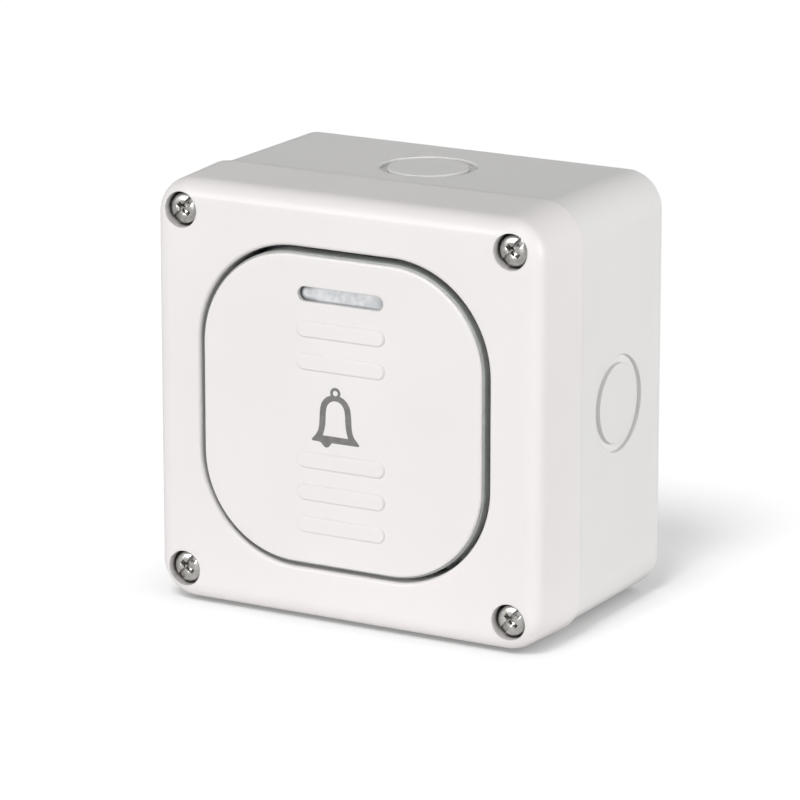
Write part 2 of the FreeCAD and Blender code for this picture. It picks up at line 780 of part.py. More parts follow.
def make_window_lens():
    """Clear insert: its flange bears on the back of the plate."""
    body = new_body("window_lens")
    flange = new_sketch(body, "LensFlangeOutline", slab_under, y=window_height)
    draw_slot(flange, s.window_length + s.lens_flange * 2, s.window_width + s.lens_flange * 2)
    pad(body, flange, s.lens_flange_thick, "LensFlange", inward=True)
    bar = new_sketch(body, "LensBarOutline", slab_under, y=window_height)
    draw_slot(bar, s.window_length - s.fit_gap * 2, s.window_width - s.fit_gap * 2)
    pad(body, bar, s.plate_thick - s.lens_sink, "LensBar")
    return body


def make_rocker():
    """Ribbed carrier under the plate, with two ears that swing on the pin."""
    body = new_body("rocker")
    base = new_sketch(body, "RockerOutline", rocker_under)
    draw_block(base, rocker_length, rocker_height)
    pad(body, base, s.rocker_thick, "RockerBlock")

    cell_x = (rocker_length - s.rocker_rib * 4) / 3
    cell_y = (rocker_height - s.rocker_rib * 3) / 2
    cell_depth = s.rocker_thick - s.rocker_web
    for row in (-1, 1):
        for column in (-1, 0, 1):
            tag = f"{row + 1}{column + 1}"
            cell = new_sketch(body, f"Cell{tag}", rocker_under)
            place_x = (cell_x + s.rocker_rib) * column if column else 0
            draw_block(cell, cell_x, cell_y, place_x, (cell_y + s.rocker_rib) / 2 * row)
            pocket(body, cell, f"CellCut{tag}", cell_depth, outward=True)

    stud = new_sketch(body, "PlungerPadCircle", slab_under - s.rocker_web / 2)
    draw_circle(stud, s.plunger_width + s.plunger_pad_rim * 2, 0, -plunger_place)
    pad(body, stud, s.rocker_thick - s.rocker_web / 2, "PlungerPad", inward=True)

    ear = new_sketch(body, "EarOutline", ear_place - s.ear_wall / 2, "YZ_Plane")
    draw_ear(ear)
    lug = pad(body, ear, s.ear_wall, "Ear")
    mirror(body, lug, "Ears")

    hole = new_sketch(body, "PinHoleCircle", 0, "YZ_Plane")
    draw_circle(hole, s.pin_width + s.pivot_gap * 2, 0, pivot_level)
    pocket(body, hole, "PinHole", both_ways=True)
    doc.recompute()
    return body


def draw_ear(sketch):
    """A lug that hangs from the carrier and ends in a half circle round the pin."""
    r = plain(s.ear_round)
    axis = plain(pivot_level)
    root = slab_under - s.rocker_web / 2
    top = plain(root)
    circle = Part.Circle(Vector(0, axis, 0), Vector(0, 0, 1), r)
    sketch.addGeometry(Part.ArcOfCircle(circle, math.pi, 2 * math.pi), False)
    sketch.addGeometry(Part.LineSegment(Vector(r, axis, 0), Vector(r, top, 0)), False)
    sketch.addGeometry(Part.LineSegment(Vector(r, top, 0), Vector(-r, top, 0)), False)
    sketch.addGeometry(Part.LineSegment(Vector(-r, top, 0), Vector(-r, axis, 0)), False)
    sketch.addConstraint(Sketcher.Constraint("Tangent", 0, 2, 1, 1))
    sketch.addConstraint(Sketcher.Constraint("Coincident", 1, 2, 2, 1))
    sketch.addConstraint(Sketcher.Constraint("Coincident", 2, 2, 3, 1))
    sketch.addConstraint(Sketcher.Constraint("Tangent", 3, 2, 0, 1))
    sketch.addConstraint(Sketcher.Constraint("Vertical", 1))
    sketch.addConstraint(Sketcher.Constraint("Vertical", 3))
    sketch.addConstraint(Sketcher.Constraint("Horizontal", 2))
    place_point(sketch, 0, 3, 0, pivot_level, "axis")
    name_size(sketch, Sketcher.Constraint("Radius", 0, r), "round", s.ear_round)
    rise = Sketcher.Constraint("DistanceY", -1, 1, 2, 1, top)
    name_size(sketch, rise, "top", root)


def make_pivot_pin():
    """Steel pin, across both towers and both ears."""
    length = (ear_place + s.ear_wall / 2) * 2
    pin = doc.addObject("Part::Cylinder", "PinRod")
    pin.Radius = plain(s.pin_width) / 2
    pin.Height = plain(length)
    bind(pin, "Radius", s.pin_width / 2)
    bind(pin, "Height", length)
    pin.Placement = Placement(Vector(-plain(length) / 2, 0, 0), Rotation(Vector(0, 1, 0), 90))
    bind(pin, "Placement.Base.x", -(length / 2))
    doc.recompute()
    ends = doc.addObject("Part::Chamfer", "pivot_pin")
    ends.Label = "pivot_pin"
    ends.Base = pin
    chamfer = plain(s.pin_width) / 8
    rims = [n for n, edge in enumerate(pin.Shape.Edges, start=1) if isinstance(edge.Curve, Part.Circle)]
    ends.Edges = [(number, chamfer, chamfer) for number in rims]
    stand(ends, 0, 0, pivot_level)
    pieces.append(ends)
    return ends


def make_mounting_frame():
    """Steel plate on the four posts of the cover, which carries the contact block."""
    body = new_body("mounting_frame")
    plate = new_sketch(body, "FrameOutline", frame_back)
    draw_rounded(plate, frame_width, frame_width, s.frame_corner, "outer")
    draw_rounded(plate, block_length + s.slip_gap * 2, block_height + s.slip_gap * 2,
                 s.block_corner, "inner")
    pad(body, plate, s.frame_thick, "FramePlate")

    hole = new_sketch(body, "FrameHoleCircle", post_level)
    draw_circle(hole, s.frame_screw_shank + s.slip_gap * 2, post_spacing / 2, post_spacing / 2)
    bore = pocket(body, hole, "FrameHole")
    ring_of_four(body, bore, "FrameHoles")

    taps = new_sketch(body, "BlockScrewCircles", post_level)
    tap_width = s.frame_screw_shank + s.fit_gap * 2
    draw_circle(taps, tap_width, 0, block_screw_place, "high")
    draw_circle(taps, tap_width, 0, -block_screw_place, "low")
    pocket(body, taps, "BlockScrewHoles")

    side = (frame_width + block_length) / 4
    slot = new_sketch(body, "WireSlotOutline", post_level)
    draw_block(slot, s.frame_slot_width, s.frame_slot_length, side, 0)
    cut = pocket(body, slot, "WireSlot")
    mirror(body, cut, "WireSlots")
    doc.recompute()
    return body


def make_contact_block():
    """Moulded housing of the contacts: pin towers, plunger guide, lamp cradles."""
    body = new_body("contact_block")
    shell = new_sketch(body, "BlockOutline", block_back)
    draw_rounded(shell, block_length, block_height, s.block_corner)
    pad(body, shell, block_front - block_back, "BlockShell")

    flange = new_sketch(body, "FlangeOutline", flange_back)
    flange_x = block_length + s.flange_side * 2
    flange_y = block_height + s.flange_end * 2
    draw_rounded(flange, flange_x, flange_y, s.block_corner)
    pad(body, flange, s.flange_thick, "Flange")

    hollow = new_sketch(body, "BlockHollowOutline", block_back)
    draw_block(hollow, block_length - s.block_wall * 2, block_height - s.block_wall * 2)
    pocket(body, hollow, "BlockHollow", block_inside_front - block_back, outward=True)

    guide = new_sketch(body, "GuideCircle", block_front)
    draw_circle(guide, s.guide_width, 0, -plunger_place)
    guide_end = plunger_shoulder + s.touch_gap + s.slip_gap
    pad(body, guide, block_front - guide_end, "Guide", inward=True)
    bore = new_sketch(body, "GuideBoreCircle", block_front)
    draw_circle(bore, s.plunger_width + s.slip_gap * 2, 0, -plunger_place)
    pocket(body, bore, "GuideBore", block_front - block_back)

    for side, name in ((1, "right"), (-1, "left")):
        tower = new_sketch(body, f"Tower_{name}_outline", block_front)
        draw_block(tower, s.tower_wall, s.tower_width, tower_place * side, 0)
        rise = pivot_level + s.tower_top - block_front
        pad(body, tower, rise, f"Tower_{name}")
        cradle = new_sketch(body, f"Cradle_{name}_outline", block_front)
        draw_block(cradle, s.cradle_wall, s.cradle_width, cradle_place * side, window_height)
        pad(body, cradle, lamp_level - block_front, f"Cradle_{name}")
        clamp = new_sketch(body, f"Clamp_{name}_outline", strip_top)
        grip_y = -(strip_end - s.strip_end_grip / 2)
        draw_block(clamp, s.bridge_width, s.strip_end_grip, s.contact_place * side, grip_y)
        pad(body, clamp, block_inside_front - strip_top, f"Clamp_{name}")
        entry = new_sketch(body, f"WireEntry_{name}_circle", 0, "XZ_Plane")
        draw_circle(entry, s.wire_bore + s.slip_gap * 4, s.contact_place * side, wire_level)
        cut = pocket(body, entry, f"WireEntry_{name}", block_height / 2 + s.flange_end, outward=False)
        lead = new_sketch(body, f"LeadHole_{name}_circle", block_front)
        draw_circle(lead, s.lead_width + s.slip_gap * 2, lead_place * side, window_height)
        pocket(body, lead, f"LeadHole_{name}", s.block_wall)

    hole = new_sketch(body, "TowerHoleCircle", 0, "YZ_Plane")
    draw_circle(hole, s.pin_width + s.fit_gap * 2, 0, pivot_level)
    pocket(body, hole, "TowerHole", both_ways=True)

    trough = new_sketch(body, "TroughCircle", 0, "YZ_Plane")
    draw_circle(trough, s.lamp_width + s.fit_gap * 2, window_height, lamp_level)
    pocket(body, trough, "Trough", both_ways=True)

    holes = new_sketch(body, "FlangeScrewCircles", frame_back)
    hole_width = s.frame_screw_shank + s.slip_gap * 2
    draw_circle(holes, hole_width, 0, block_screw_place, "high")
    draw_circle(holes, hole_width, 0, -block_screw_place, "low")
    pocket(body, holes, "FlangeScrewHoles", s.flange_thick)
    doc.recompute()
    return body


def make_block_cover():
    """Back plate of the contact block, with the seat of the spring."""
    body = new_body("block_cover")
    plate = new_sketch(body, "BlockCoverOutline", cover_plate_back)
    draw_rounded(plate, block_length, block_height, s.block_corner)
    pad(body, plate, s.cover_plate_thick, "BlockCoverPlate")

    rim = new_sketch(body, "SpigotOutline", block_back)
    length = block_length - (s.block_wall + s.slip_gap) * 2
    height = block_height - (s.block_wall + s.slip_gap) * 2
    draw_block(rim, length, height, tag="outer")
    draw_block(rim, length - s.block_wall * 2, height - s.block_wall * 2, tag="inner")
    pad(body, rim, s.spigot_rise, "Spigot")

    seat = new_sketch(body, "SpringSeatCircles", block_back)
    draw_circle(seat, s.guide_width, 0, -plunger_place, "outer")
    draw_circle(seat, s.spring_width + s.slip_gap * 2, 0, -plunger_place, "inner")
    pad(body, seat, s.spigot_rise, "SpringSeat")

    for side, name in ((1, "right"), (-1, "left")):
        rest = new_sketch(body, f"StripRest_{name}_outline", block_back)
        rest_y = -(strip_end - s.strip_end_grip / 2)
        draw_block(rest, s.bridge_width, s.strip_end_grip, s.contact_place * side, rest_y)
        pad(body, rest, strip_under - block_back, f"StripRest_{name}")
        access = new_sketch(body, f"Access_{name}_circle", block_back)
        access_width = s.terminal_screw_head + s.touch_gap * 2
        draw_circle(access, access_width, s.contact_place * side, terminal_place)
        pocket(body, access, f"Access_{name}", s.cover_plate_thick)
    doc.recompute()
    return body


def make_plunger():
    """Turned plunger: a domed head under the rocker and a stem inside the spring."""
    body = new_body("plunger", 0, -plunger_place)
    head = rocker_under - s.touch_gap
    profile = new_sketch(body, "PlungerProfile", 0, "XZ_Plane")
    corners = [
        (0, plunger_shoulder - s.plunger_stem_length),
        (s.plunger_stem / 2, plunger_shoulder - s.plunger_stem_length),
        (s.plunger_stem / 2, plunger_shoulder),
        (s.plunger_width / 2, plunger_shoulder),
        (s.plunger_width / 2, head - s.plunger_dome),
        (s.plunger_width * 0.4, head - s.plunger_dome * 0.45),
        (s.plunger_width * 0.22, head - s.plunger_dome * 0.1),
        (0, head),
    ]
    draw_outline(profile, corners)
    revolve(body, profile, "PlungerTurned")
    return body


def make_bridge():
    """Moving contact: a copper bar with two silver tips, held up by the spring."""
    body = new_body("contact_bridge", 0, -plunger_place)
    bar = new_sketch(body, "BridgeOutline", bridge_under)
    draw_slot(bar, s.bridge_length, s.bridge_width, "bar")
    draw_circle(bar, s.plunger_stem + s.slip_gap * 2, tag="bore")
    pad(body, bar, s.strip_thick, "BridgeBar")
    for side, name in ((1, "right"), (-1, "left")):
        tip = new_sketch(body, f"BridgeTip_{name}_circle", bridge_under)
        draw_circle(tip, s.tip_width, s.contact_place * side, 0)
        pad(body, tip, s.tip_rise, f"BridgeTip_{name}", inward=True)
    return body


def make_fixed_contacts():
    """Two strips, each from its terminal to a silver tip under the bridge."""
    for side, name in ((1, "right"), (-1, "left")):
        body = new_body(f"fixed_contact_{name}", s.contact_place * side, 0)
        high = window_height + s.lead_land
        length = high + strip_end
        strip = new_sketch(body, f"Strip_{name}", strip_under)
        draw_block(strip, s.bridge_width, length, 0, high - length / 2)
        pad(body, strip, s.strip_thick, f"StripBar_{name}")
        tip = new_sketch(body, f"StripTip_{name}_circle", strip_top)
        draw_circle(tip, s.tip_width, 0, -plunger_place)
        pad(body, tip, s.tip_rise, f"StripTip_{name}")


def make_terminals():
    """Two brass blocks with a cross hole for the wire and a screw from behind."""
    grip = wire_level - s.wire_bore / 2 - block_back + s.touch_gap
    for side, name in ((1, "right"), (-1, "left")):
        x = s.contact_place * side
        make_terminal(f"terminal_{name}", x, terminal_place, block_back, s.terminal_height)
        make_screw(f"terminal_screw_{name}", x, terminal_place, block_back,
                   s.terminal_screw_shank, grip, s.terminal_screw_head,
                   s.terminal_screw_head_rise, s.terminal_screw_head_rise * 0.8)
        turn_about(pieces[-1])


def make_terminal(label, x, y, level, rise):
    body = new_body(label, x, y, level)
    block = new_sketch(body, f"{label}_outline")
    draw_block(block, s.terminal_width, s.terminal_length)
    pad(body, block, rise, f"{label}_block")
    wire = new_sketch(body, f"{label}_wire", 0, "XZ_Plane")
    draw_circle(wire, s.wire_bore, 0, wire_level - block_back)
    pocket(body, wire, f"{label}_wire_hole", both_ways=True)
    tap = new_sketch(body, f"{label}_tap", rise)
    draw_circle(tap, s.terminal_screw_shank + s.fit_gap * 2)
    pocket(body, tap, f"{label}_tap_hole")
    return body


def turn_about(screw):
    """Point a screw away from the wall, with its head towards the wall."""
    screw.Placement = Placement(screw.Placement.Base, Rotation(Vector(1, 0, 0), -90))


def make_spring():
    """Compression spring between the block cover and the bridge."""
    body = new_body("return_spring", 0, -plunger_place, block_back)
    wire = new_sketch(body, "SpringWire", 0, "XZ_Plane")
    middle = (s.spring_width - s.spring_wire) / 2
    half = s.spring_wire / 2
    turns = [math.radians(60 * step) for step in range(6)]
    corners = [(middle + half * math.cos(turn), half + half * math.sin(turn)) for turn in turns]
    draw_outline(wire, corners)
    coil = body.newObject("PartDesign::AdditiveHelix", "SpringCoil")
    coil.Profile = wire
    coil.ReferenceAxis = (wire, ["V_Axis"])
    coil.Mode = "height-turns-angle"
    height = bridge_under - block_back - s.spring_wire
    coil.Height = plain(height)
    coil.Turns = plain(s.spring_turns)
    bind(coil, "Height", height)
    bind(coil, "Turns", s.spring_turns)
    doc.recompute()
    return body


def make_lamp():
    """Neon lamp lying behind the window, its two leads and its resistor."""
    body = new_body("locator_lamp", 0, window_height, lamp_level)
    glass = new_sketch(body, "LampProfile", 0, "XY_Plane")
    half = s.lamp_length / 2
    corners = [
        (-half, 0),
        (-half, s.lamp_width * 0.3),
        (s.lamp_tip * 0.6 - half, s.lamp_width / 2),
        (half - s.lamp_tip, s.lamp_width / 2),
        (half - s.lamp_tip * 0.3, s.lamp_width * 0.36),
        (half, 0),
    ]
    draw_outline(glass, corners)
    revolve(body, glass, "LampGlass", "H_Axis")

    end = s.lamp_length / 2
    for side, name in ((1, "right"), (-1, "left")):
        lead = doc.addObject("Part::Feature", f"lamp_lead_{name}")
        lead.Label = f"lamp_lead_{name}"
        lead.Shape = bent_wire(plain(end) * side, plain(lead_place) * side,
                               plain(lamp_level), plain(strip_top))
        stand(lead, 0, window_height)
        pieces.append(lead)

    tube = new_body("lamp_resistor", lead_place, window_height, strip_top + s.resistor_gap)
    rings = new_sketch(tube, "ResistorRings")
    draw_circle(rings, s.resistor_width, tag="outer")
    draw_circle(rings, s.lead_width + s.fit_gap * 2, tag="inner")
    pad(tube, rings, s.resistor_length, "ResistorTube")


def bent_wire(start, place, level, end):
    """A thin wire that leaves the lamp sideways and turns down to the strip."""
    bend = math.copysign(plain(s.lead_bend), place)
    knee = Vector(place - bend, 0, level)
    turn = Vector(place, 0, level - abs(bend))
    eighth = math.pi / 4
    drop = abs(bend) * (1 - math.cos(eighth))
    middle = Vector(place - bend + bend * math.sin(eighth), 0, level - drop)
    path = Part.Wire([
        Part.LineSegment(Vector(start, 0, level), knee).toShape(),
        Part.Arc(knee, middle, turn).toShape(),
        Part.LineSegment(turn, Vector(place, 0, end)).toShape(),
    ])
    half = plain(s.lead_width) / 2
    turns = [math.radians(60 * step) for step in range(7)]
    section = [Vector(start, half * math.cos(turn), level + half * math.sin(turn)) for turn in turns]
    return path.makePipeShell([Part.makePolygon(section)], True, True)


def make_fasteners():
    """Screws of the steel frame, from behind, and of the contact block."""
    reach = post_spacing / 2
    for name, side_x, side_y in corner_signs():
        make_screw(f"frame_screw_{name}", reach * side_x, reach * side_y, frame_back,
                   s.frame_screw_shank, s.frame_screw_grip + s.frame_thick, s.frame_screw_head,
                   s.frame_screw_head_rise, s.frame_screw_head_rise / 2)
        turn_about(pieces[-1])
    for name, side in (("upper", 1), ("lower", -1)):
        make_screw(f"block_screw_{name}", 0, block_screw_place * side, flange_back,
                   s.frame_screw_shank, s.flange_thick + s.frame_thick, s.frame_screw_head,
                   s.frame_screw_head_rise, s.frame_screw_head_rise / 2)
        turn_about(pieces[-1])


def make_loop_terminal():
    """Spare brass terminal on its post on the floor of the box."""
    base = s.box_floor + s.loop_post_rise
    body = new_body("loop_terminal", -loop_place_x, -loop_place_y, base)
    block = new_sketch(body, "LoopOutline")
    draw_block(block, s.terminal_length, s.terminal_width)
    pad(body, block, s.loop_block_rise, "LoopBlock")
    wire = new_sketch(body, "LoopWire", 0, "YZ_Plane")
    draw_circle(wire, s.wire_bore, 0, s.loop_block_rise / 2 - s.slip_gap * 5)
    pocket(body, wire, "LoopWireHole", both_ways=True)
    tap = new_sketch(body, "LoopTap", s.loop_block_rise)
    draw_circle(tap, s.terminal_screw_shank + s.fit_gap * 2)
    pocket(body, tap, "LoopTapHole", s.loop_block_rise / 2)
    make_screw("loop_screw", -loop_place_x, -loop_place_y, base + s.loop_block_rise,
               s.terminal_screw_shank, s.loop_block_rise / 2 - s.slip_gap, s.terminal_screw_head,
               s.terminal_screw_head_rise, s.terminal_screw_head_rise * 0.8)


make_back_box()
make_cover()
make_gasket()
make_cover_screws()
make_push_plate()
make_plate_seal()
make_window_lens()
make_rocker()
make_pivot_pin()
make_mounting_frame()
make_contact_block()
make_block_cover()
make_plunger()
make_bridge()
make_fixed_contacts()
make_terminals()
make_spring()
make_lamp()
make_fasteners()
make_loop_terminal()
doc.recompute()

for item in doc.Objects:
    if "Invalid" in item.State or "Error" in item.State:
        raise RuntimeError(f"{item.Label} did not build: {item.State}")
for piece in pieces:
    if piece.Shape.isNull() or not piece.Shape.isValid() or not piece.Shape.Solids:
        raise RuntimeError(f"{piece.Label} has no valid solid")

os.makedirs("parts", exist_ok=True)
for piece in pieces:
    piece.Shape.exportStep(f"parts/{piece.Label}.step")
    box = piece.Shape.BoundBox
    print(f"{piece.Label:28s} solids {len(piece.Shape.Solids)} volume {piece.Shape.Volume:9.1f} mm3  "
          f"x {box.XMin:6.1f} {box.XMax:6.1f}  y {box.YMin:6.1f} {box.YMax:6.1f}  z {box.ZMin:6.1f} {box.ZMax:6.1f}")
print(len(pieces), "pieces")
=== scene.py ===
import json
import math

import bpy
from mathutils import Matrix, Vector


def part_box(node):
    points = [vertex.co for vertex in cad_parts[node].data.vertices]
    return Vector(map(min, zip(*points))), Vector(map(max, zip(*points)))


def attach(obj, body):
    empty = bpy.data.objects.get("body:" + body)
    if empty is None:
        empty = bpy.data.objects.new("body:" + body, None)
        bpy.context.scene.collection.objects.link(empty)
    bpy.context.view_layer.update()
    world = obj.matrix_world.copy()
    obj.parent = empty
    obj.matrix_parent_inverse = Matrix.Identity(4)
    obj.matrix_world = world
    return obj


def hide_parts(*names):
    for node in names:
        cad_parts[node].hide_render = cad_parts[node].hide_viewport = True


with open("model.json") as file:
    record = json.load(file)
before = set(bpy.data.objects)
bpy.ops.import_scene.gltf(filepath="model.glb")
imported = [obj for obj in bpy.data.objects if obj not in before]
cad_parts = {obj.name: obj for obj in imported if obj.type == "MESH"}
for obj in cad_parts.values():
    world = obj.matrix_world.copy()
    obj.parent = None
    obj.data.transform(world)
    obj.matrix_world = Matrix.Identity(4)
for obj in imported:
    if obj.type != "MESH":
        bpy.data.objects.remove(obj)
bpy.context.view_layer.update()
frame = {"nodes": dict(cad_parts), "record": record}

# A surface-mounted bell push, shown standing on a pale table.
# Lengths in the dictionaries are millimetres; the plate faces -Y and +Z is up.

mm = 0.001
nodes = frame["nodes"]
scene = bpy.context.scene
bpy.ops.object.select_all(action="DESELECT")


def hexLinear(code):
    channels = [int(code[place:place + 2], 16) / 255 for place in (1, 3, 5)]
    linear = [c / 12.92 if c <= 0.04045 else ((c + 0.055) / 1.055) ** 2.4 for c in channels]
    return (*linear, 1.0)


# unit vector from the object; azimuth 0 is straight out from the plate
def towards(azimuth, elevation):
    a, e = math.radians(azimuth), math.radians(elevation)
    return Vector((math.sin(a) * math.cos(e), -math.cos(a) * math.cos(e), math.sin(e)))


# camera

view = {"azimuth": 29.52, "elevation": 15.05, "distance": 1.030, "lens": 234.0, "aim": (13.1, -53.8, 4.75)}

back = towards(view["azimuth"], view["elevation"])
cameraData = bpy.data.cameras.new("photoCamera")
cameraData.lens = view["lens"]
cameraData.clip_start = 0.05
camera = bpy.data.objects.new("photoCamera", cameraData)
camera.location = Vector(view["aim"]) * mm + back * view["distance"]
camera.rotation_euler = back.to_track_quat("Z", "Y").to_euler()
scene.collection.objects.link(camera)
scene.camera = camera
scene.view_settings.view_transform = "Standard"
print("camera set")


# lamps, world and table

lamps = {
    # angles in degrees, seen from the object; spread is the width of the lamp
    "keySun": {"azimuth": -18, "elevation": 10, "strength": 2.04, "spread": 30},
    "sideSun": {"azimuth": 95, "elevation": 8, "strength": 2.4, "spread": 36},
    "topSun": {"azimuth": 6, "elevation": 54, "strength": 0.55, "spread": 22},
    "tableSun": {"azimuth": 5, "elevation": 55, "strength": 1.6, "spread": 20},
}
# mirror is the brightness that shiny faces see, from the lower right of the room to the upper left
world = {"level": 0.2, "white": 1.0, "mirror": (0.2, 0.95), "mirrorFrom": (-0.5, 0.0, 1.0),
         "mirrorReach": (-0.45, 0.5)}
# bounce is the colour that lights the object; within the contact distance a painted contact shadow takes the table
# towards contactLow
table = {"size": 8000, "level": -44.68, "colour": "#F6F6F6", "bounce": "#E0E0E0", "glow": 0.49,
         "contact": 26, "contactLow": 0.5, "samples": 12}

for name, lamp in lamps.items():
    sunData = bpy.data.lights.new(name, "SUN")
    sunData.energy = lamp["strength"]
    sunData.angle = math.radians(lamp["spread"])
    sun = bpy.data.objects.new(name, sunData)
    sun.rotation_euler = towards(lamp["azimuth"], lamp["elevation"]).to_track_quat("Z", "Y").to_euler()
    scene.collection.objects.link(sun)


# settings and links are keyed by a socket's name or number, or by a property
def addNode(tree, kind, settings=None, links=None):
    node = tree.nodes.new(kind)
    for key, value in (settings or {}).items():
        if isinstance(key, int) or key in node.inputs:
            node.inputs[key].default_value = value
        else:
            setattr(node, key, value)
    for key, source in (links or {}).items():
        tree.links.new(source, node.inputs[key])
    return node


# a value brought from one range into another
def scaled(tree, value, fromRange=(0, 1), toRange=(0, 1)):
    node = addNode(tree, "ShaderNodeMapRange",
                   {"From Min": fromRange[0], "From Max": fromRange[1], "To Min": toRange[0], "To Max": toRange[1]},
                   {"Value": value})
    return node.outputs[0]


# sums with one or two sockets; a number goes to the second place, or to the third for MULTIPLY_ADD
def maths(tree, operation, first, second=None, third=None):
    settings, links = {"operation": operation}, {0: first}
    for place, value in ((1, second), (2, third)):
        if isinstance(value, (int, float)):
            settings[place] = value
        elif value is not None:
            links[place] = value
    return addNode(tree, "ShaderNodeMath", settings, links).outputs[0]


def mixed(tree, share, first, second):
    settings, links = {}, {"Fac": share}
    for socket, colour in (("Color1", first), ("Color2", second)):
        if isinstance(colour, str):
            settings[socket] = hexLinear(colour)
        else:
            links[socket] = colour
    return addNode(tree, "ShaderNodeMixRGB", settings, links).outputs[0]


# 1 where the camera or clear plastic shows the background, 0 for the light that falls on the object
def seenDirectly(tree):
    path = addNode(tree, "ShaderNodeLightPath")
    direct = maths(tree, "MAXIMUM", path.outputs["Is Camera Ray"], path.outputs["Is Transmission Ray"])
    return direct, path.outputs["Is Glossy Ray"]


backdrop = bpy.data.worlds.new("paleStudio")
backdrop.use_nodes = True
scene.world = backdrop
tree = backdrop.node_tree
tree.nodes.clear()
direct, mirrored = seenDirectly(tree)
place = addNode(tree, "ShaderNodeTexCoord")
upLeft = addNode(tree, "ShaderNodeVectorMath", {"operation": "DOT_PRODUCT", 1: world["mirrorFrom"]},
                 {0: place.outputs["Generated"]})
room = scaled(tree, upLeft.outputs["Value"], world["mirrorReach"], world["mirror"])
even = addNode(tree, "ShaderNodeBackground", {"Strength": world["level"]})
bright = addNode(tree, "ShaderNodeBackground", {"Strength": world["white"]})
glossy = addNode(tree, "ShaderNodeBackground", None, {"Strength": room})
lit = addNode(tree, "ShaderNodeMixShader", None, {0: mirrored, 1: even.outputs[0], 2: glossy.outputs[0]})
shown = addNode(tree, "ShaderNodeMixShader", None, {0: direct, 1: lit.outputs[0], 2: bright.outputs[0]})
addNode(tree, "ShaderNodeOutputWorld", None, {"Surface": shown.outputs[0]})

bpy.ops.mesh.primitive_plane_add(size=table["size"] * mm, location=(0, 0, table["level"] * mm))
floor = bpy.context.object
floor.name = "table"
paleTable = bpy.data.materials.new("matt white table, with painted contact shadow")
paleTable.use_nodes = True
tree = paleTable.node_tree
tree.nodes.clear()
direct = seenDirectly(tree)[0]
# painted contact shadow: near the object the table's colour and glow are painted darker
near = addNode(tree, "ShaderNodeAmbientOcclusion", {"samples": table["samples"], "Distance": table["contact"] * mm})
contact = scaled(tree, near.outputs["AO"], toRange=(table["contactLow"], 1))
shaded = mixed(tree, contact, "#000000", table["colour"])
card = addNode(tree, "ShaderNodeBsdfDiffuse", None, {"Color": mixed(tree, direct, table["bounce"], shaded)})
dimmed = maths(tree, "MULTIPLY", maths(tree, "MULTIPLY", direct, table["glow"]), contact)
glow = addNode(tree, "ShaderNodeEmission", {"Color": (1, 1, 1, 1)}, {"Strength": dimmed})
both = addNode(tree, "ShaderNodeAddShader", None, {0: card.outputs[0], 1: glow.outputs[0]})
addNode(tree, "ShaderNodeOutputMaterial", None, {"Surface": both.outputs[0]})
floor.data.materials.append(paleTable)

# tableSun lights the table alone and the others leave it out, so that only one soft shadow falls on it
for name in lamps:
    reach = bpy.data.collections.new(name + "Reach")
    reach.objects.link(floor)
    reach.collection_objects[0].light_linking.link_state = "INCLUDE" if name == "tableSun" else "EXCLUDE"
    bpy.data.objects[name].light_linking.receiver_collection = reach
print("lamps, world and table set")


# materials

patchContrast = (0.35, 0.65)  # where the two colours of a mottle lie on its noise
bumpDepth = 0.02  # height of the finest texture at full strength


def newMaterial(name):
    material = bpy.data.materials.new(name)
    material.use_nodes = True
    material.node_tree.nodes.clear()
    return material, material.node_tree


# two close colours in soft patches of the given size, and the object's own coordinates
def mottled(tree, colours, millimetres):
    place = addNode(tree, "ShaderNodeTexCoord").outputs["Object"]
    patches = addNode(tree, "ShaderNodeTexNoise", {"Scale": 1 / (millimetres * mm), "Detail": 2.0}, {"Vector": place})
    ramp = addNode(tree, "ShaderNodeValToRGB", None, {"Fac": patches.outputs["Fac"]})
    for stop, where, code in zip(ramp.color_ramp.elements, patchContrast, colours):
        stop.position = where
        stop.color = hexLinear(code)
    return ramp.outputs["Color"], place, patches.outputs["Fac"]


# painted shade: the colour is painted dark where other faces stand close by, in the narrow gaps that lie in shade;
# with "around" only within a radius of the four points that lie that far out in x and z
def paintGapShade(tree, colour, gap):
    near = addNode(tree, "ShaderNodeAmbientOcclusion", {"samples": 8, "Distance": gap["reach"] * mm})
    unshaded = scaled(tree, near.outputs["AO"], (gap["shut"], gap["open"]))
    if "around" in gap:
        place = addNode(tree, "ShaderNodeTexCoord")
        quarter = addNode(tree, "ShaderNodeVectorMath", {"operation": "ABSOLUTE"}, {0: place.outputs["Object"]})
        flat = addNode(tree, "ShaderNodeVectorMath", {"operation": "MULTIPLY", 1: (1, 0, 1)}, {0: quarter.outputs[0]})
        corner = (gap["around"] * mm, 0, gap["around"] * mm)
        away = addNode(tree, "ShaderNodeVectorMath", {"operation": "DISTANCE", 1: corner}, {0: flat.outputs[0]})
        unshaded = maths(tree, "MAXIMUM", unshaded, maths(tree, "GREATER_THAN", away.outputs["Value"], gap["within"] * mm))
    return mixed(tree, unshaded, gap["colour"], colour)


def relief(tree, strength, height, links=None):
    bump = addNode(tree, "ShaderNodeBump", {"Strength": strength, "Distance": bumpDepth * mm},
                   {"Height": height, **(links or {})})
    return bump.outputs[0]


def shadeWith(tree, settings, links):
    shader = addNode(tree, "ShaderNodeBsdfPrincipled", settings, links)
    addNode(tree, "ShaderNodeOutputMaterial", None, {"Surface": shader.outputs[0]})


